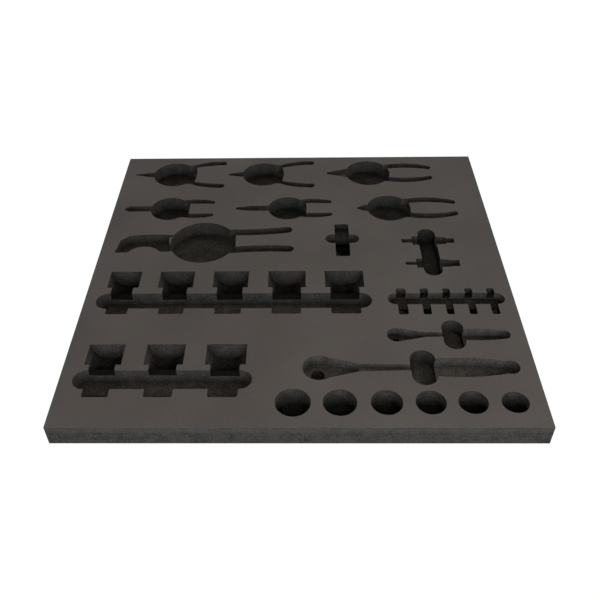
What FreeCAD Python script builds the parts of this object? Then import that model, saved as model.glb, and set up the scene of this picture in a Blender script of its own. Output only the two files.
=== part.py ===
import FreeCAD, Part
import os
import Sketcher
from FreeCAD import Rotation, Vector

# Foam tool tray for a chest drawer: a thin top layer glued to a thicker base layer, with one
# milled pocket for each tool. Millimetres, +Z up, origin at the middle of the underside.
# X runs along the front edge and +Y points to the back of the drawer.

doc = FreeCAD.newDocument("FoamToolTray")

# Sizes that belong to the whole tray or to every pocket of one kind
commonSizes = {
    # Foam left between the outermost pockets and the four edges of the tray
    "leftMargin": 15.5,
    "rightMargin": 12,
    "backMargin": 11,
    "frontMargin": 15.1,
    "topThickness": 9,
    "baseThickness": 19.5,
    # How far the milling volumes stand above the top face
    "millRise": 5,
    # Depths, all measured from the top face
    "scoopDepth": 21,
    "noseDepth": 5.8,
    "pivotDepth": 12,
    "gripDepth": 5.6,
    "wideGripDepth": 8.5,
    "jawDepth": 13,
    "jointDepth": 7.5,
    "headDepth": 26.3,
    "channelDepth": 20,
    "seatDepth": 26.5,
    "slotDepth": 9,
    "slotChannelDepth": 10.5,
    "crossBarDepth": 9,
    "crossScoopDepth": 18.5,
    "adapterTipDepth": 5,
    "adapterBodyDepth": 8,
    # Corner radius that the milling cutter leaves in a slot
    "cutterRadius": 2.5,
}

# The three grip shapes: stations along the tool from the middle of the finger scoop, with the
# half spread of the outer and inner edges there
gripSizes = {
    "flared": {"root": 27, "middle": 49, "end": 74, "cap": 82, "outerRoot": 27, "outerMiddle": 35.8,
               "outerEnd": 38.6, "innerRoot": 18.4, "innerMiddle": 24.4, "innerEnd": 27.6},
    "straight": {"root": 20, "middle": 43, "end": 64.5, "cap": 67.5, "outerRoot": 22, "outerMiddle": 24.2,
                 "outerEnd": 20.2, "innerRoot": 12.6, "innerMiddle": 12.9, "innerEnd": 12.6},
    "bowed": {"root": 30, "middle": 60, "end": 98.5, "cap": 102, "outerRoot": 24.2, "outerMiddle": 27.6,
              "outerEnd": 19.4, "innerRoot": 12, "innerMiddle": 14.6, "innerEnd": 9.6},
    "wide": {"root": 40, "middle": 92, "end": 123, "cap": 129, "outerRoot": 27.8, "outerMiddle": 27.1,
             "outerEnd": 29.4, "innerRoot": 13.6, "innerMiddle": 12.6, "innerEnd": 15.2},
}

# Where each pair of pliers lies (middle of its finger scoop), the scoop, the pivot block and the nose
pliersSizes = {
    "longNose": {"x": -199, "y": 230.4, "scoop": 33.5, "pivot": 31.5, "pivotBulge": 35.5, "reach": 63.5,
                 "tip": 2.5, "shoulder": 34.5, "nose": 14.5},
    "diagonal": {"x": -56.5, "y": 230, "scoop": 33, "pivot": 28.8, "pivotBulge": 32.5, "reach": 56,
                 "tip": 5.5, "shoulder": 33.5, "nose": 15},
    "combination": {"x": 110.7, "y": 232, "scoop": 35.2, "pivot": 32.5, "pivotBulge": 33.8, "reach": 65.7,
                    "tip": 6.5, "shoulder": 34.7, "nose": 24.6},
    "flatNose": {"x": -195, "y": 135.5, "scoop": 29, "pivot": 29, "pivotBulge": 30, "reach": 68.5,
                 "tip": 9.6, "shoulder": 62, "nose": 13.8},
    "roundNose": {"x": -16.8, "y": 135.3, "scoop": 29, "pivot": 28, "pivotBulge": 29, "reach": 78.4,
                  "tip": 6, "shoulder": 55.2, "nose": 13.5},
    "endCutter": {"x": 136, "y": 134.4, "scoop": 32.5, "pivot": 31, "pivotBulge": 32.4, "reach": 48.3,
                  "tip": 4, "shoulder": 36, "nose": 16.5},
    "pumpPliers": {"x": -136.5, "y": 52.3, "scoop": 46.6, "pivot": 46, "pivotBulge": 47},
}
pliersGrips = {
    "longNose": "flared",
    "diagonal": "flared",
    "combination": "bowed",
    "flatNose": "straight",
    "roundNose": "straight",
    "endCutter": "bowed",
    "pumpPliers": "wide",
}

# The pump pliers' hooked jaw, from the middle of the scoop towards the tip
jawSizes = {
    "jawTilt": 2.87,
    "jawReach": 124,
    "jawFaceTop": 118.7,
    "jawFaceTopRise": 11.4,
    "jawCrown": 106,
    "jawCrownRise": 20.6,
    "jawBackRise": 20,
    "jawBackBow": 22.2,
    "jawBackMiddle": 74,
    "jawHeel": 17.4,
    "jawHookEnd": 105.5,
    "jawThroat": 83.5,
    "jawThroatDrop": 5.7,
    "jawThroatEnd": 60,
    "jawBelly": 19,
    "jawSliver": 48.5,
    "jawSliverRise": 14,
    "jawOverlap": 8,
}

# Two ratchets: place of the finger scoop, head, neck and grip, from the middle of the scoop
ratchetSizes = {
    "smallRatchet": {"x": 191.8, "y": -136.4, "scoopWidth": 27, "scoopLength": 50.5, "reach": 82.3,
                     "headWidth": 22.4, "headEnd": 66, "neckStart": 35, "neckWidth": 8.6, "neckEndWidth": 7.2,
                     "gripRoot": 8.6, "gripMiddle": 10, "gripMiddleAt": 38, "gripEnd": 7.7, "gripEndAt": 62,
                     "cap": 69.7, "headDeep": 11, "neckDeep": 5, "gripDeep": 13, "driveHole": 9,
                     "driveAt": 71, "driveDeep": 15},
    "largeRatchet": {"x": 148.4, "y": -191, "scoopWidth": 30.7, "scoopLength": 55.7, "reach": 143.4,
                     "headWidth": 32.4, "headEnd": 112, "neckStart": 76, "neckWidth": 12.4, "neckEndWidth": 9.6,
                     "gripRoot": 12, "gripMiddle": 15.5, "gripMiddleAt": 50, "gripEnd": 10, "gripEndAt": 98,
                     "cap": 113, "headDeep": 15, "neckDeep": 8, "gripDeep": 15, "driveHole": 17,
                     "driveAt": 124.9, "driveDeep": 21},
}

# Two rows of deep sockets: the wide end lies to the back, and the narrow end lies on a shallow
# ledge, which a finger channel crosses. Ledge is how far that ledge lies below the top face.
rowSizes = {
    "upperRow": {"back": -13, "step": -46.7, "front": -98, "channelLeft": -264.5, "channelRight": 96,
                 "channelBack": -58.5, "channelFront": -87.5},
    "lowerRow": {"back": -152, "step": -186.2, "front": -236.5, "channelLeft": -264, "channelRight": -53.5,
                 "channelBack": -195.3, "channelFront": -224.3},
}
socketSizes = {
    "upperRow": {
        "socketA": {"x": -234.1, "head": 42, "tail": 28.5, "ledge": 10.8},
        "socketB": {"x": -163.8, "head": 46.5, "tail": 32.5, "ledge": 11.2},
        "socketC": {"x": -90.6, "head": 47.2, "tail": 34, "ledge": 11.8},
        "socketD": {"x": -15.2, "head": 50.3, "tail": 37.9, "ledge": 11.7},
        "socketE": {"x": 61.7, "head": 51.9, "tail": 38.3, "ledge": 11.7},
    },
    "lowerRow": {
        "socketF": {"x": -233.2, "head": 44, "tail": 31, "ledge": 9},
        "socketG": {"x": -160.7, "head": 47, "tail": 33.2, "ledge": 9},
        "socketH": {"x": -86.5, "head": 49, "tail": 34.8, "ledge": 10.6},
    },
}

# Five narrow slots across their own finger channel
slotRowSizes = {
    "slotBack": -50,
    "slotFront": -100,
    "slotChannelLeft": 116.4,
    "slotChannelRight": 268,
    "slotChannelBack": -59.5,
    "slotChannelFront": -81,
}
slotSizes = {
    "slotA": {"x": 134.8, "width": 12.5},
    "slotB": {"x": 165.2, "width": 10.5},
    "slotC": {"x": 194.5, "width": 9.4},
    "slotD": {"x": 223.4, "width": 9.7},
    "slotE": {"x": 252, "width": 10},
}

# Six round seats along the front edge
seatRowSizes = {
    "seatRowY": -244.4,
}
seatSizes = {
    "seatA": {"x": -5.8, "width": 41},
    "seatB": {"x": 47.4, "width": 39},
    "seatC": {"x": 100.4, "width": 36.5},
    "seatD": {"x": 150, "width": 35},
    "seatE": {"x": 197.5, "width": 33.8},
    "seatF": {"x": 244.5, "width": 31},
}

# The cross-shaped pocket and the two stepped adapters that share one finger scoop
crossSizes = {
    "crossX": 62.7,
    "crossY": 56.2,
    "crossBarWidth": 20,
    "crossBarLength": 74.5,
    "crossScoopY": 58.9,
    "crossScoopWidth": 20.2,
    "crossScoopLength": 48.2,
}
adapterScoopSizes = {
    "adapterX": 183.6,
    "adapterScoopY": 28.3,
    "adapterScoopWidth": 25.2,
    "adapterScoopLength": 104.2,
}
adapterSizes = {
    "adapterA": {"y": 53.2, "reach": 36.6, "tip": 8.8, "collar": 20.2, "collarAt": 21.6, "body": 19,
                 "shoulder": 15.4, "shoulderAt": 26.4, "end": 10.7, "endAt": 37.9},
    "adapterB": {"y": 2.6, "reach": 36.1, "tip": 7, "collar": 20.2, "collarAt": 20.8, "body": 20.2,
                 "shoulder": 14.6, "shoulderAt": 26.4, "end": 13.3, "endAt": 37.9},
}


class Size:
    """A length with its value and the sheet expression that gives it."""

    def __init__(self, value, text):
        self.value = value
        self.text = text

    def __neg__(self):
        return Size(-self.value, f"-({self.text})")

    def __add__(self, other):
        return Size(self.value + other.value, f"({self.text} + {other.text})")

    def __sub__(self, other):
        return Size(self.value - other.value, f"({self.text} - ({other.text}))")

    def __mul__(self, factor):
        return Size(self.value * factor, f"({self.text} * {factor})")

    def __truediv__(self, divisor):
        return Size(self.value / divisor, f"({self.text} / {divisor})")


sheet = doc.addObject("Spreadsheet::Sheet", "Sizes")
sizes = {}


def addSizes(table, owner=""):
    """Give every entry a row in the sheet; an entry that is itself a table names its owner."""
    for name, value in table.items():
        if isinstance(value, dict):
            addSizes(value, name)
            continue
        alias = f"{owner}_{name}" if owner else name
        row = len(sizes) + 1
        sheet.set(f"A{row}", alias)
        sheet.set(f"B{row}", str(value))
        sheet.setAlias(f"B{row}", alias)
        sizes[alias] = Size(value, f"Sizes.{alias}")


def sizesOf(owner, table):
    """The sizes of one tool, by their short names."""
    return {name: sizes[f"{owner}_{name}"] for name in table}


sizeTables = (commonSizes, gripSizes, pliersSizes, jawSizes, ratchetSizes, rowSizes, socketSizes["upperRow"],
              socketSizes["lowerRow"], slotRowSizes, slotSizes, seatRowSizes, seatSizes, crossSizes,
              adapterScoopSizes, adapterSizes)
for sizeTable in sizeTables:
    addSizes(sizeTable)
doc.recompute()

nothing = Size(0, "0")
topFace = sizes["baseThickness"] + sizes["topThickness"]
rise = sizes["millRise"]
cutters = []


def bind(item, **properties):
    """Bind properties of one object to sheet expressions."""
    for name, size in properties.items():
        item.setExpression(name, size.text)


def place(item, x, y, z, turn=None):
    """Bind the place of one object, and its turn about +Z where it has one."""
    item.setExpression(".Placement.Base.x", x.text)
    item.setExpression(".Placement.Base.y", y.text)
    item.setExpression(".Placement.Base.z", z.text)
    if turn:
        item.Placement.Rotation = Rotation(Vector(0, 0, 1), 1)
        item.setExpression(".Placement.Rotation.Angle", turn.text)


def pin(sketch, element, vertex, x, y):
    """Hold one sketch vertex at a place given by two sizes."""
    for kind, size in (("DistanceX", x), ("DistanceY", y)):
        row = sketch.addConstraint(Sketcher.Constraint(kind, -1, 1, element, vertex, size.value))
        sketch.setExpression(f"Constraints[{row}]", size.text)


def outlineSketch(name, start, steps):
    """A closed outline. A step is (x, y) for a line, or (x, y, viaX, viaY) for an arc.

    A line closes it, unless the last step comes back to the start by itself.
    """
    sketch = doc.addObject("Sketcher::SketchObject", name)
    here = start
    elements = []
    closing = [] if steps[-1][:2] == start else [start]
    for step in steps + closing:
        there = step[:2]
        a = Vector(here[0].value, here[1].value, 0)
        b = Vector(there[0].value, there[1].value, 0)
        if len(step) == 4:
            via = Vector(step[2].value, step[3].value, 0)
            element = sketch.addGeometry(Part.Arc(a, via, b))
            # An arc keeps its ends in anticlockwise order, so a clockwise one starts at its far end
            swapped = sketch.getPoint(element, 1).distanceToPoint(a) > sketch.getPoint(element, 2).distanceToPoint(a)
            viaPoint = sketch.addGeometry(Part.Point(via), True)
            pin(sketch, viaPoint, 1, step[2], step[3])
            sketch.addConstraint(Sketcher.Constraint("PointOnObject", viaPoint, 1, element))
        else:
            element = sketch.addGeometry(Part.LineSegment(a, b))
            swapped = False
        startVertex, endVertex = (2, 1) if swapped else (1, 2)
        pin(sketch, element, startVertex, *here)
        elements.append((element, startVertex, endVertex))
        here = there
    for index, (element, unused, endVertex) in enumerate(elements):
        following, followingStart, unused = elements[(index + 1) % len(elements)]
        sketch.addConstraint(Sketcher.Constraint("Coincident", element, endVertex, following, followingStart))
    return sketch


def millOutline(name, start, steps, x, y, depth, turn=None):
    """Mill one outline down from the top face."""
    sketch = outlineSketch(f"{name}Outline", start, steps)
    place(sketch, x, y, topFace, turn)
    cutter = doc.addObject("Part::Extrusion", name)
    cutter.Base = sketch
    cutter.DirMode = "Custom"
    cutter.Dir = Vector(0, 0, -1)
    cutter.Solid = True
    bind(cutter, LengthFwd=depth, LengthRev=rise)
    cutters.append(cutter)


def millRound(name, x, y, radius, depth):
    """Mill one round pocket with a flat floor."""
    cutter = doc.addObject("Part::Cylinder", name)
    bind(cutter, Radius=radius, Height=depth + rise)
    place(cutter, x, y, topFace - depth)
    cutters.append(cutter)


def millRectangle(name, x, y, width, length, corner, depth):
    """Mill one rectangle with rounded corners; a corner of half the width gives full round ends."""
    right = width / 2
    back = length / 2
    bend = corner * (1 - 0.5 ** 0.5)
    innerX = right - corner
    innerY = back - corner
    cutX = right - bend
    cutY = back - bend
    flatEnds = abs(innerX.value) > 1e-6
    flatSides = abs(innerY.value) > 1e-6
    steps = []
    if flatEnds:
        steps.append((innerX, -back))
    steps.append((right, -innerY, cutX, -cutY))
    if flatSides:
        steps.append((right, innerY))
    steps.append((innerX, back, cutX, cutY))
    if flatEnds:
        steps.append((-innerX, back))
    steps.append((-right, innerY, -cutX, cutY))
    if flatSides:
        steps.append((-right, -innerY))
    steps.append((-innerX, -back, -cutX, -cutY))
    millOutline(name, steps[-1][:2], steps, x, y, depth)


def millPliers(tool):
    """A round finger scoop, the pivot block behind it, two grips and, on most, a tapered nose."""
    own = sizesOf(tool, pliersSizes[tool])
    gripKind = pliersGrips[tool]
    grip = sizesOf(gripKind, gripSizes[gripKind])
    isPump = tool == "pumpPliers"
    turn = sizes["jawTilt"] if isPump else None
    gripDepth = sizes["wideGripDepth"] if isPump else sizes["gripDepth"]
    x = own["x"]
    y = own["y"]
    millRound(f"{tool}Scoop", x, y, own["scoop"], sizes["scoopDepth"])

    halfPivot = grip["outerRoot"]
    pivotSteps = [
        (nothing, -halfPivot),
        (own["pivot"], -halfPivot),
        (own["pivot"], halfPivot, own["pivotBulge"], nothing),
    ]
    millOutline(f"{tool}Pivot", (nothing, halfPivot), pivotSteps, x, y, sizes["pivotDepth"], turn)

    capMiddle = (grip["outerEnd"] + grip["innerEnd"]) / 2
    for side, sign in (("Left", 1), ("Right", -1)):
        rootX = grip["root"]
        start = (rootX, grip["outerRoot"] * sign)
        steps = [
            (grip["end"], grip["outerEnd"] * sign, grip["middle"], grip["outerMiddle"] * sign),
            (grip["end"], grip["innerEnd"] * sign, grip["cap"], capMiddle * sign),
            (rootX, grip["innerRoot"] * sign, grip["middle"], grip["innerMiddle"] * sign),
        ]
        millOutline(f"{tool}Grip{side}", start, steps, x, y, gripDepth, turn)

    if not isPump:
        halfTip = own["tip"] / 2
        halfNose = own["nose"] / 2
        tipX = -own["reach"]
        noseSteps = [
            (-own["shoulder"], halfNose),
            (nothing, halfNose),
            (nothing, -halfNose),
            (-own["shoulder"], -halfNose),
            (tipX + halfTip, -halfTip),
        ]
        closing = (tipX + halfTip, halfTip, tipX, nothing)
        millOutline(f"{tool}Nose", closing[:2], noseSteps + [closing], x, y, sizes["noseDepth"])


def millJaw():
    """The pump pliers' hooked jaw, and a shallower joint that leaves a sliver of foam standing."""
    j = {name: sizes[name] for name in jawSizes}
    own = sizesOf("pumpPliers", pliersSizes["pumpPliers"])
    start = (-j["jawReach"], -j["jawHeel"])
    steps = [
        (-j["jawFaceTop"], j["jawFaceTopRise"]),
        (-j["jawCrown"], j["jawCrownRise"]),
        (-j["jawSliver"], j["jawBackRise"], -j["jawBackMiddle"], j["jawBackBow"]),
        (-j["jawSliver"], -j["jawBelly"]),
        (-j["jawThroatEnd"], -j["jawBelly"]),
        (-j["jawHookEnd"], -j["jawHeel"], -j["jawThroat"], -j["jawThroatDrop"]),
    ]
    millOutline("pumpPliersJaw", start, steps, own["x"], own["y"], sizes["jawDepth"], j["jawTilt"])
    # The joint passes above and below the sliver, from inside the jaw to inside the scoop
    nearX = j["jawOverlap"] - j["jawSliver"]
    farX = -j["jawOverlap"] - j["jawSliver"]
    for side, top, bottom in (("Upper", j["jawBackRise"], j["jawSliverRise"]),
                              ("Lower", nothing, -j["jawBelly"])):
        steps = [
            (nearX, top),
            (nearX, bottom),
            (farX, bottom),
        ]
        millOutline(f"pumpPliersJoint{side}", (farX, top), steps, own["x"], own["y"], sizes["jointDepth"],
                    j["jawTilt"])


def millRatchet(tool):
    """A finger scoop across the tool, the round head with its drive hole, the neck and the grip."""
    own = sizesOf(tool, ratchetSizes[tool])
    x = own["x"]
    y = own["y"]
    millRectangle(f"{tool}Scoop", x, y, own["scoopWidth"], own["scoopLength"], own["scoopWidth"] / 2,
                  sizes["scoopDepth"])

    halfHead = own["headWidth"] / 2
    halfNeck = own["neckWidth"] / 2
    headSteps = [
        (-own["headEnd"], -halfHead, -own["reach"], nothing),
        (-own["neckStart"], -halfNeck),
        (-own["neckStart"], halfNeck),
    ]
    millOutline(f"{tool}Head", (-own["headEnd"], halfHead), headSteps, x, y, own["headDeep"])
    millRound(f"{tool}DriveHole", x - own["driveAt"], y, own["driveHole"] / 2, own["driveDeep"])

    halfNeckEnd = own["neckEndWidth"] / 2
    neckSteps = [
        (nothing, halfNeckEnd),
        (nothing, -halfNeckEnd),
        (-own["neckStart"], -halfNeck),
    ]
    millOutline(f"{tool}Neck", (-own["neckStart"], halfNeck), neckSteps, x, y, own["neckDeep"])

    gripSteps = [
        (own["gripEndAt"], own["gripEnd"], own["gripMiddleAt"], own["gripMiddle"]),
        (own["gripEndAt"], -own["gripEnd"], own["cap"], nothing),
        (nothing, -own["gripRoot"], own["gripMiddleAt"], -own["gripMiddle"]),
    ]
    millOutline(f"{tool}Grip", (nothing, own["gripRoot"]), gripSteps, x, y, own["gripDeep"])


def millTrough(name, x, back, front, width, depth):
    """A trough with a half-round floor, running towards the front of the tray."""
    half = width / 2
    springing = half - depth
    sketch = outlineSketch(f"{name}Outline", (-half, springing), [
        (half, springing, nothing, -depth),
        (half, rise),
        (-half, rise),
    ])
    sketch.Placement.Rotation = Rotation(Vector(1, 0, 0), 90)
    sketch.setExpression(".Placement.Base.x", x.text)
    sketch.setExpression(".Placement.Base.y", back.text)
    sketch.setExpression(".Placement.Base.z", topFace.text)
    cutter = doc.addObject("Part::Extrusion", name)
    cutter.Base = sketch
    cutter.DirMode = "Custom"
    cutter.Dir = Vector(0, -1, 0)
    cutter.Solid = True
    bind(cutter, LengthFwd=back - front)
    cutters.append(cutter)


def millChannel(name, left, right, back, front, depth):
    """A long finger channel with full round ends."""
    width = back - front
    millRectangle(name, (left + right) / 2, (back + front) / 2, right - left, width, width / 2, depth)


def millSocketRow(rowName):
    """One row of stepped sockets and the channel that crosses their narrow ends."""
    row = sizesOf(rowName, rowSizes[rowName])
    # The narrow end's outline starts inside the trough, so its back corners leave no ridge
    tailBack = row["step"] + sizes["cutterRadius"] * 2
    tailLength = tailBack - row["front"]
    tailY = (tailBack + row["front"]) / 2
    for name in socketSizes[rowName]:
        own = sizesOf(name, socketSizes[rowName][name])
        millTrough(f"{name}Head", own["x"], row["back"], row["step"], own["head"], sizes["headDepth"])
        millRectangle(f"{name}Tail", own["x"], tailY, own["tail"], tailLength, sizes["cutterRadius"],
                      own["ledge"])
    millChannel(f"{rowName}Channel", row["channelLeft"], row["channelRight"], row["channelBack"],
                row["channelFront"], sizes["channelDepth"])


def millSlotRow():
    """Five narrow slots and their finger channel."""
    length = sizes["slotBack"] - sizes["slotFront"]
    middle = (sizes["slotBack"] + sizes["slotFront"]) / 2
    for name in slotSizes:
        own = sizesOf(name, slotSizes[name])
        millRectangle(name, own["x"], middle, own["width"], length, sizes["cutterRadius"], sizes["slotDepth"])
    millChannel("slotChannel", sizes["slotChannelLeft"], sizes["slotChannelRight"], sizes["slotChannelBack"],
                sizes["slotChannelFront"], sizes["slotChannelDepth"])


def millSeats():
    """Six round seats for the largest short sockets."""
    for name in seatSizes:
        own = sizesOf(name, seatSizes[name])
        millRound(name, own["x"], sizes["seatRowY"], own["width"] / 2, sizes["seatDepth"])


def millCross():
    """A square-ended bar with a wider scoop across its middle."""
    millRectangle("crossBar", sizes["crossX"], sizes["crossY"], sizes["crossBarWidth"], sizes["crossBarLength"],
                  sizes["cutterRadius"], sizes["crossBarDepth"])
    millRectangle("crossScoop", sizes["crossX"], sizes["crossScoopY"], sizes["crossScoopLength"],
                  sizes["crossScoopWidth"], sizes["crossScoopWidth"] / 2, sizes["crossScoopDepth"])


def millAdapters():
    """Two stepped adapters, with one long finger scoop across both."""
    x = sizes["adapterX"]
    millRectangle("adapterScoop", x, sizes["adapterScoopY"], sizes["adapterScoopWidth"],
                  sizes["adapterScoopLength"], sizes["adapterScoopWidth"] / 2, sizes["scoopDepth"])
    for name in adapterSizes:
        own = sizesOf(name, adapterSizes[name])
        # Each length runs from the middle of the scoop: its far end, its two widths and its depth
        lengths = {
            "Tip": (-own["reach"], own["tip"], own["tip"], sizes["adapterTipDepth"]),
            "Collar": (-own["collarAt"], own["collar"], own["collar"], sizes["adapterBodyDepth"]),
            "Body": (own["shoulderAt"], own["body"], own["shoulder"], sizes["adapterBodyDepth"]),
            "End": (own["endAt"], own["end"], own["end"], sizes["adapterBodyDepth"]),
        }
        for stretch, (farEnd, nearWidth, farWidth, depth) in lengths.items():
            steps = [
                (farEnd, farWidth / 2),
                (farEnd, -farWidth / 2),
                (nothing, -nearWidth / 2),
            ]
            millOutline(f"{name}{stretch}", (nothing, nearWidth / 2), steps, x, own["y"], depth)


def foamLayer(label, bottom, thickness, pockets):
    """One square sheet of foam with every pocket milled out of it."""
    # The sheet reaches one margin past the outermost pocket on each side
    left = sizes["upperRow_channelLeft"] - sizes["leftMargin"]
    right = sizes["slotChannelRight"] + sizes["rightMargin"]
    back = sizes["longNose_y"] + sizes["flared_outerEnd"] + sizes["backMargin"]
    front = sizes["seatRowY"] - sizes["seatA_width"] / 2 - sizes["frontMargin"]
    blank = doc.addObject("Part::Box", f"{label}Sheet")
    bind(blank, Length=right - left, Width=back - front, Height=thickness)
    place(blank, left, front, bottom)
    layer = doc.addObject("Part::Cut", label)
    layer.Label = label
    layer.Base = blank
    layer.Tool = pockets
    layer.Refine = True
    return layer


for tool in pliersSizes:
    millPliers(tool)
millJaw()
for tool in ratchetSizes:
    millRatchet(tool)
for rowName in rowSizes:
    millSocketRow(rowName)
millSlotRow()
millSeats()
millCross()
millAdapters()

pockets = doc.addObject("Part::MultiFuse", "Pockets")
pockets.Shapes = cutters
pockets.Refine = True
layers = [
    foamLayer("top_layer", sizes["baseThickness"], sizes["topThickness"], pockets),
    foamLayer("base_layer", nothing, sizes["baseThickness"], pockets),
]
doc.recompute()

for item in doc.Objects:
    faults = {"Invalid", "Error"} & set(item.State)
    if faults:
        raise RuntimeError(f"{item.Name} failed: {sorted(faults)}")
for cutter in cutters:
    if cutter.Shape.isNull() or not cutter.Shape.isValid() or cutter.Shape.Volume <= 0:
        raise RuntimeError(f"{cutter.Name} has no valid solid")
for layer in layers:
    if layer.Shape.isNull() or not layer.Shape.isValid():
        raise RuntimeError(f"{layer.Label} has no valid solid")

os.makedirs("parts", exist_ok=True)
for layer in layers:
    layer.Shape.exportStep(f"parts/{layer.Label}.step")
    print(layer.Label, "solids", len(layer.Shape.Solids), "volume", round(layer.Shape.Volume))
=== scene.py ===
import bmesh
import bpy
import math
from mathutils import Matrix


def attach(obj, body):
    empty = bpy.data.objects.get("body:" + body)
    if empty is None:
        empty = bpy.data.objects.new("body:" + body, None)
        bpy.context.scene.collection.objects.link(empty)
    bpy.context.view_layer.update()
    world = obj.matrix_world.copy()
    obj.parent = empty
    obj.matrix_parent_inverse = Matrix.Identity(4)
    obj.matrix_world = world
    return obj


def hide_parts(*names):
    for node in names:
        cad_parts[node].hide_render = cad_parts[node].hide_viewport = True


# Foam tool tray on a light table, in a ring of low softboxes.

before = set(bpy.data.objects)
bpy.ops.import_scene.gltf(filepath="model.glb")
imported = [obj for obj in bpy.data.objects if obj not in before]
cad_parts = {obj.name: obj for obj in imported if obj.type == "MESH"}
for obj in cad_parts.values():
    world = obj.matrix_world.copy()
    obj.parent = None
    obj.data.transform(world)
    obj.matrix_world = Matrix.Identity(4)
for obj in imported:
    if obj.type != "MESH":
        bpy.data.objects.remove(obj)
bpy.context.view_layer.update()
mm = 0.001


def hexToLinear(code):
    # an sRGB hex colour as the linear values that a shader wants
    channels = [int(code[i:i + 2], 16) / 255 for i in (1, 3, 5)]
    return [c / 12.92 if c <= 0.04045 else ((c + 0.055) / 1.055) ** 2.4 for c in channels] + [1.0]


def addNode(material, kind, settings=None, inputs=None):
    # one node with its settings; an input is a value, or a socket to link from
    node = material.node_tree.nodes.new(kind)
    for name, value in (settings or {}).items():
        setattr(node, name, value)
    for name, value in (inputs or {}).items():
        if isinstance(value, bpy.types.NodeSocket):
            material.node_tree.links.new(value, node.inputs[name])
        else:
            node.inputs[name].default_value = value
    return node


camera = {
    "place": (5.94 * mm, -782.7 * mm, 670.3 * mm),
    "pitch": 42.08,    # degrees below the horizon
    "turn": 1.50,
    "roll": -1.205,
    "lens": 44.11,
    "sensor": 36,
    "shift": 0.0193,
    "nearest": 0.01,
    "farthest": 50,
}


def makeCamera():
    data = bpy.data.cameras.new("photoCamera")
    data.sensor_width = camera["sensor"]
    data.lens = camera["lens"]
    data.shift_x = camera["shift"]
    data.clip_start = camera["nearest"]
    data.clip_end = camera["farthest"]
    item = bpy.data.objects.new("photoCamera", data)
    bpy.context.scene.collection.objects.link(item)
    turn = Matrix.Rotation(math.radians(camera["turn"]), 4, "Z")
    pitch = Matrix.Rotation(math.radians(90 - camera["pitch"]), 4, "X")
    roll = Matrix.Rotation(math.radians(camera["roll"]), 4, "Z")
    item.matrix_world = Matrix.Translation(camera["place"]) @ turn @ pitch @ roll
    bpy.context.scene.camera = item


light = {
    # each softbox: degrees round from the front towards the right, height in degrees, distance in
    # metres, strength
    "softboxes": {
        "leftBox": (-90, 20, 3.5, 0.024),
        "frontLeftBox": (-45, 22, 3.0, 0.018),
        "frontBox": (6, 25, 1.15, 0.036),
        "frontRightBox": (45, 24, 2.0, 0.012),
        "rightBox": (90, 20, 3.8, 0.038),
        "backRightBox": (135, 20, 2.6, 0.0134),
        "backBox": (180, 45, 1.6, 0.018),
    },
    "size": 0.7,
    # each strength is how bright that box makes the skin, which gives back this share of its light
    "skinShare": 0.0726,
    "skyStrength": 0.02,
}


def makeLights():
    scene = bpy.context.scene
    scene.view_settings.view_transform = "Standard"
    world = bpy.data.worlds.new("paleRoom")
    world.use_nodes = True
    background = world.node_tree.nodes["Background"]
    background.inputs["Color"].default_value = (1, 1, 1, 1)
    background.inputs["Strength"].default_value = light["skyStrength"]
    scene.world = world
    for name, (turn, height, distance, strength) in light["softboxes"].items():
        data = bpy.data.lights.new(name, "AREA")
        data.shape = "SQUARE"
        data.size = light["size"]
        # the power that does so at the middle of the tray, on a face turned to the box
        data.energy = math.pi ** 2 * distance ** 2 * strength * (1 / light["skinShare"])
        item = bpy.data.objects.new(name, data)
        out = math.cos(math.radians(height)) * distance
        way = math.radians(turn)
        item.location = (out * math.sin(way), -out * math.cos(way),
                         math.sin(math.radians(height)) * distance)
        item.rotation_euler = (-item.location).to_track_quat("-Z", "Y").to_euler()
        scene.collection.objects.link(item)
    print("lights", len(light["softboxes"]))


room = {"radius": 12, "sides": 96, "rise": 24, "colour": "#101010", "roughness": 0.9, "glow": 1.0}


def makeGlow(name, mesh):
    # a white panel lit from behind
    material = bpy.data.materials.new(name)
    material.use_nodes = True
    shader = material.node_tree.nodes["Principled BSDF"]
    shader.inputs["Base Color"].default_value = hexToLinear(room["colour"])
    shader.inputs["Roughness"].default_value = room["roughness"]
    shader.inputs["Emission Color"].default_value = (1, 1, 1, 1)
    shader.inputs["Emission Strength"].default_value = room["glow"]
    mesh.materials.append(material)
    item = bpy.data.objects.new(name, mesh)
    bpy.context.scene.collection.objects.link(item)
    return item


def makeRoom():
    # a light table: it glows, so the tray stands on pure white without a shadow
    count = room["sides"]
    step = 2 * math.pi / count
    ring = [(room["radius"] * math.cos(step * i), room["radius"] * math.sin(step * i))
            for i in range(count)]
    low = [(x, y, 0) for x, y in ring]
    high = [(x, y, room["rise"]) for x, y in ring]
    floor = bpy.data.meshes.new("whiteTable")
    floor.from_pydata(low, [], [tuple(range(count))])
    makeGlow("whiteTable", floor)
    # the same white all round behind it, far off; it is only seen and lights nothing
    wall = bpy.data.meshes.new("whiteRound")
    sides = [(i, (i + 1) % count, count + (i + 1) % count, count + i) for i in range(count)]
    wall.from_pydata(low + high, [], sides)
    around = makeGlow("whiteRound", wall)
    around.visible_diffuse = around.visible_glossy = around.visible_shadow = False
    print("light table")


# closed-cell polyethylene foam, which scatters light and has next to no gloss
foam = {"shine": 0.15, "roughness": 0.9}


def startFoam(name):
    material = bpy.data.materials.new(name)
    material.use_nodes = True
    shader = material.node_tree.nodes["Principled BSDF"]
    shader.inputs["Specular IOR Level"].default_value = foam["shine"]
    shader.inputs["Roughness"].default_value = foam["roughness"]
    place = addNode(material, "ShaderNodeTexCoord").outputs["Object"]
    return material, shader, place


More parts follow.
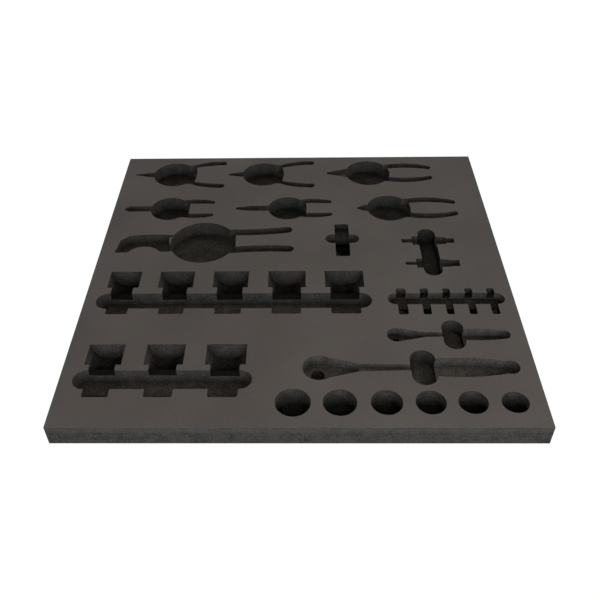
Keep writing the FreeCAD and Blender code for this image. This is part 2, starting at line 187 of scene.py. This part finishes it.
def finishFoam(material, shader, colour, height, strength, depth):
    # colour and bump into the shader
    bump = addNode(material, "ShaderNodeBump", {},
                   {"Strength": strength, "Distance": depth, "Height": height})
    material.node_tree.links.new(colour, shader.inputs["Base Color"])
    material.node_tree.links.new(bump.outputs[0], shader.inputs["Normal"])


skin = {
    "colour": "#48433F",
    "pale": "#58534F",
    "cloudScale": 9,        # clouds of about 110 mm
    "cloudDetail": 5,
    # the real grain is finer; this is as fine as shows at this distance
    "grain": 2.2 * mm,
    "grainDetail": 2,
    "grainRoughness": 0.7,
    "mottle": (0.6, 1.4),   # part of the two noises' sum that runs from dark to pale
    "bump": 0.25,
    "bumpDepth": 0.1 * mm,
    "rimTone": 1.1,         # rims are a little paler, a painted highlight
}


def makeSkin():
    # the sheet's moulded skin: smooth, matt, warm black, faintly mottled
    material, shader, place = startFoam("foamSkin")
    cloud = addNode(material, "ShaderNodeTexNoise", {},
                    {"Vector": place, "Scale": skin["cloudScale"], "Detail": skin["cloudDetail"]})
    grain = addNode(material, "ShaderNodeTexNoise", {},
                    {"Vector": place, "Scale": 1 / skin["grain"], "Detail": skin["grainDetail"],
                     "Roughness": skin["grainRoughness"]})
    both = addNode(material, "ShaderNodeMath", {"operation": "ADD"},
                   {0: cloud.outputs["Fac"], 1: grain.outputs["Fac"]})
    dark, pale = skin["mottle"]
    spread = addNode(material, "ShaderNodeMapRange", {},
                     {"Value": both.outputs[0], "From Min": dark, "From Max": pale})
    colour = addNode(material, "ShaderNodeMix", {"data_type": "RGBA"},
                     {0: spread.outputs[0], 6: hexToLinear(skin["colour"]), 7: hexToLinear(skin["pale"])})
    # painted highlight: the tone attribute makes rims a little paler
    tone = addNode(material, "ShaderNodeAttribute", {"attribute_name": "tone"})
    highlighted = addNode(material, "ShaderNodeVectorMath", {"operation": "SCALE"},
                   {0: colour.outputs[2], "Scale": tone.outputs["Fac"]})
    finishFoam(material, shader, highlighted.outputs[0], grain.outputs["Fac"], skin["bump"], skin["bumpDepth"])
    return material


# cells of the cut foam: the real ones are under 1 mm and would not show at this distance
cells = {
    "size": 2.0 * mm,
    "patchScale": 90,       # patches of about 11 mm
    "patchDetail": 4,
    "spread": (0.7, 1.25),  # part of the two patterns' sum that runs from dark to pale
}


def addCells(material, place):
    # open cells where a cutter went through: pale cell walls round dark pits, unevenly spread
    pits = addNode(material, "ShaderNodeTexVoronoi", {"feature": "F1"},
                   {"Vector": place, "Scale": 1 / cells["size"], "Randomness": 1.0})
    patch = addNode(material, "ShaderNodeTexNoise", {},
                    {"Vector": place, "Scale": cells["patchScale"], "Detail": cells["patchDetail"]})
    both = addNode(material, "ShaderNodeMath", {"operation": "ADD"},
                   {0: pits.outputs["Distance"], 1: patch.outputs["Fac"]})
    dark, pale = cells["spread"]
    spread = addNode(material, "ShaderNodeMapRange", {},
                     {"Value": both.outputs[0], "From Min": dark, "From Max": pale})
    return spread.outputs[0]


cut = {
    "wall": "#292827",
    "wallPale": "#393836",
    "floor": "#201E1C",
    "floorPale": "#312E2A",
    "floorSlope": (0.35, 0.85),  # height of the normal, from all wall to all floor
    "shine": 0.03,               # open cells hold the light
    # painted shade: narrow pockets are darkened, matched to the photo, where little light comes out of
    # them
    "shadeReach": 16 * mm,
    "shadeSamples": 8,
    "openness": (0.1, 0.8),      # from fully darkened to not at all
    "narrowShadeTone": 0.4,
    "bump": 0.6,
    "bumpDepth": 0.3 * mm,
}


def makeCut():
    # milled foam: grainy and matt, its floors browner than its walls and painted darker, as shade
    material, shader, place = startFoam("foamCut")
    shader.inputs["Specular IOR Level"].default_value = cut["shine"]
    grain = addCells(material, place)
    facing = addNode(material, "ShaderNodeTexCoord").outputs["Normal"]
    up = addNode(material, "ShaderNodeSeparateXYZ", {}, {0: facing})
    steep, level = cut["floorSlope"]
    floorShare = addNode(material, "ShaderNodeMapRange", {},
                         {"Value": up.outputs["Z"], "From Min": steep, "From Max": level})
    wall = addNode(material, "ShaderNodeMix", {"data_type": "RGBA"},
                   {0: grain, 6: hexToLinear(cut["wall"]), 7: hexToLinear(cut["wallPale"])})
    floor = addNode(material, "ShaderNodeMix", {"data_type": "RGBA"},
                    {0: grain, 6: hexToLinear(cut["floor"]), 7: hexToLinear(cut["floorPale"])})
    colour = addNode(material, "ShaderNodeMix", {"data_type": "RGBA"},
                     {0: floorShare.outputs[0], 6: wall.outputs[2], 7: floor.outputs[2]})
    # painted shade: an occlusion node darkens the cut foam where a pocket is narrow
    openness = addNode(material, "ShaderNodeAmbientOcclusion", {"samples": cut["shadeSamples"]},
                       {"Distance": cut["shadeReach"]})
    closed, clear = cut["openness"]
    narrowShade = addNode(material, "ShaderNodeMapRange", {},
                     {"Value": openness.outputs["AO"], "From Min": closed, "From Max": clear,
                      "To Min": cut["narrowShadeTone"]})
    tone = addNode(material, "ShaderNodeAttribute", {"attribute_name": "tone"})
    # painted shade of narrow pockets, times the area tones
    paintedShade = addNode(material, "ShaderNodeMath", {"operation": "MULTIPLY"},
                   {0: narrowShade.outputs[0], 1: tone.outputs["Fac"]})
    shadedColour = addNode(material, "ShaderNodeVectorMath", {"operation": "SCALE"},
                     {0: colour.outputs[2], "Scale": paintedShade.outputs[0]})
    finishFoam(material, shader, shadedColour.outputs[0], grain, cut["bump"], cut["bumpDepth"])
    return material


edge = {"bump": 0.5, "bumpDepth": 0.2 * mm}


def makeEdge(name, colourCode, spread):
    # outer sides of a sheet, sawn from a block: fine speckle, evener in the skinned sheet
    material, shader, place = startFoam(name)
    grain = addCells(material, place)
    middle = hexToLinear(colourCode)
    dark = [c * (1 - spread) for c in middle[:3]] + [1]
    pale = [c * (1 + spread) for c in middle[:3]] + [1]
    colour = addNode(material, "ShaderNodeMix", {"data_type": "RGBA"}, {0: grain, 6: dark, 7: pale})
    finishFoam(material, shader, colour.outputs[2], grain, edge["bump"], edge["bumpDepth"])
    return material


# tones of the cut foam, set by average brightness to agree with the photo; they stand in
# for its light as well as for how the foam varied
tones = {
    # left, right, front, back and lowest of each area in mm, then the tone of its walls and of its
    # floors; an area that comes first counts before those below it
    "areas": {
        "upperLedges": (-262, 90, -58.4, -46.8, 9, 0.3, 0.3),
        "lowerLedges": (-262, -60, -195.2, -186.3, 9, 0.38, 0.38),
        "lowerRow": (-270, -50, -240, -150, 0, 1.47, 2.0),
        "upperRow": (-268, 100, -99, -8, 0, 1.27, 1.7),
        "seats": (-30, 265, -270, -223, 0, 1.6, 1.67),
        "largeScoop": (132, 166, -222, -158, 0, 1.32, 2.9),
        "largeGrip": (166, 270, -222, -158, 0, 1.95, 3.1),
        "largeRatchet": (0, 270, -222, -158, 0, 2.2, 3.8),
        "smallScoop": (177, 207, -158, -104, 0, 1.48, 4.3),
        "smallRatchet": (105, 268, -158, -104, 0, 2.2, 2.1),
        "slotFronts": (126, 262, -101, -81, 0, 0.9, 0.1),
        "slotBacks": (126, 262, -59.5, -49, 0, 1.5, 0.28),
        "slotRow": (112, 270, -103, -45, 0, 2.0, 0.88),
        "crossBar": (52.6, 72.8, 15, 96, 0, 1.03, 0.05),
        "pumpPliers": (-262, 0, 26, 104, 0, 1.16, 1.48),
        "farScoops": (-240, 160, 192, 275, 0, 1.24, 1.6),
        "middleScoops": (-230, 175, 104, 170, 0, 1.2, 1.7),
        "adapterScoop": (169, 198, -26, 82, 0, 0.98, 1.43),
    },
    "rest": 1.35,
    "floorNormal": 0.6,   # a face that looks up more than this is a floor
    # painted shade on side walls, which are darker in the photo than the softboxes leave them: how much
    # darker they are painted
    "leftWallShade": 0.72,
    "rightWallShade": 0.45,
}


def toneAt(face):
    place = face.calc_center_median() / mm
    # painted shade: walls that face left or right are darkened
    sideways = face.normal.x
    paintedShade = 1 - abs(sideways) * (tones["rightWallShade"] if sideways > 0 else tones["leftWallShade"])
    for left, right, front, back, lowest, wallTone, floorTone in tones["areas"].values():
        if left < place.x < right and front < place.y < back and place.z > lowest:
            return paintedShade * (floorTone if face.normal.z > tones["floorNormal"] else wallTone)
    return paintedShade * tones["rest"]


layers = {
    "top_layer": {"piece": "topFoam", "slot": "top_foam", "edge": "#383634", "spread": 0.22,
                  "top": 28.5 * mm, "rounded": True},
    "base_layer": {"piece": "baseFoam", "slot": "base_foam", "edge": "#2F2E2D", "spread": 0.4,
                   "top": 19.5 * mm, "rounded": False},
}

# softened rim round each pocket and round the top sheet, narrower than its shortest edge
rims = {
    "width": 0.12 * mm,
    "steps": 2,
    "roundness": 0.5,
    "corner": math.radians(50),   # a sharper bend at the top is a rim
}

sheet = {
    "weld": 0.01 * mm,
    "near": 0.02 * mm,            # this close to the top counts as on it
    "crease": math.radians(40),   # shading breaks at a sharper bend
    "side": 279.9 * mm,           # beyond this is the outer side
    "levelNormal": 0.95,
    "steepNormal": 0.5,
}


def roundRims(bm, top):
    # bevels the rims at this height; gives their number and the new faces
    rim = []
    for bend in bm.edges:
        if len(bend.link_faces) != 2 or bend.calc_face_angle(0) < rims["corner"]:
            continue
        if all(abs(v.co.z - top) < sheet["near"] for v in bend.verts):
            rim.append(bend)
    made = bmesh.ops.bevel(bm, geom=rim, offset=rims["width"], segments=rims["steps"],
                           profile=rims["roundness"], clamp_overlap=True, affect="EDGES")
    return len(rim), set(made["faces"])


def makeLayer(node, facts, skinFoam, cutFoam):
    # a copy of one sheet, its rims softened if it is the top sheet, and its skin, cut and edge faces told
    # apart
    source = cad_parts[node]
    mesh = source.data.copy()
    mesh.name = facts["piece"]
    mesh.materials.clear()
    edgeFoam = makeEdge(f"{facts['piece']}Edge", facts["edge"], facts["spread"])
    for material in (skinFoam, cutFoam, edgeFoam):
        mesh.materials.append(material)
    skinSlot, cutSlot, edgeSlot = 0, 1, 2
    bm = bmesh.new()
    bm.from_mesh(mesh)
    # before the bevel, because a new layer makes bmesh forget the faces it gave back
    tone = bm.faces.layers.float.new("tone")
    bmesh.ops.remove_doubles(bm, verts=bm.verts, dist=sheet["weld"])
    rimCount, rounded = roundRims(bm, facts["top"]) if facts["rounded"] else (0, set())
    for bend in bm.edges:
        # shading breaks at corners, and where a rounded rim meets a flat face
        ends = [face in rounded for face in bend.link_faces]
        alike = len(ends) == 2 and ends[0] == ends[1]
        bend.smooth = alike and bend.calc_face_angle(0) < sheet["crease"]
    for face in bm.faces:
        middle = face.calc_center_median()
        onTop = facts["rounded"] and middle.z > facts["top"] - sheet["near"]
        outside = max(abs(middle.x), abs(middle.y)) > sheet["side"]
        face.smooth = True
        if face in rounded:
            face.material_index = skinSlot
            # painted highlight: rims are a little paler
            face[tone] = skin["rimTone"]
        elif onTop and face.normal.z > sheet["levelNormal"]:
            face.material_index = skinSlot
            face[tone] = 1.0
        elif outside and abs(face.normal.z) < sheet["steepNormal"]:
            face.material_index = edgeSlot
        else:
            face.material_index = cutSlot
            face[tone] = toneAt(face)
    bm.to_mesh(mesh)
    bm.free()
    item = bpy.data.objects.new(facts["piece"], mesh)
    item.matrix_world = source.matrix_world
    bpy.context.scene.collection.objects.link(item)
    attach(item, "root")
    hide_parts(node)
    print(facts["piece"], "rims", rimCount, "faces", len(mesh.polygons))


makeCamera()
makeLights()
makeRoom()
skinFoam = makeSkin()
cutFoam = makeCut()
for node, facts in layers.items():
    makeLayer(node, facts, skinFoam, cutFoam)
print("foam done")
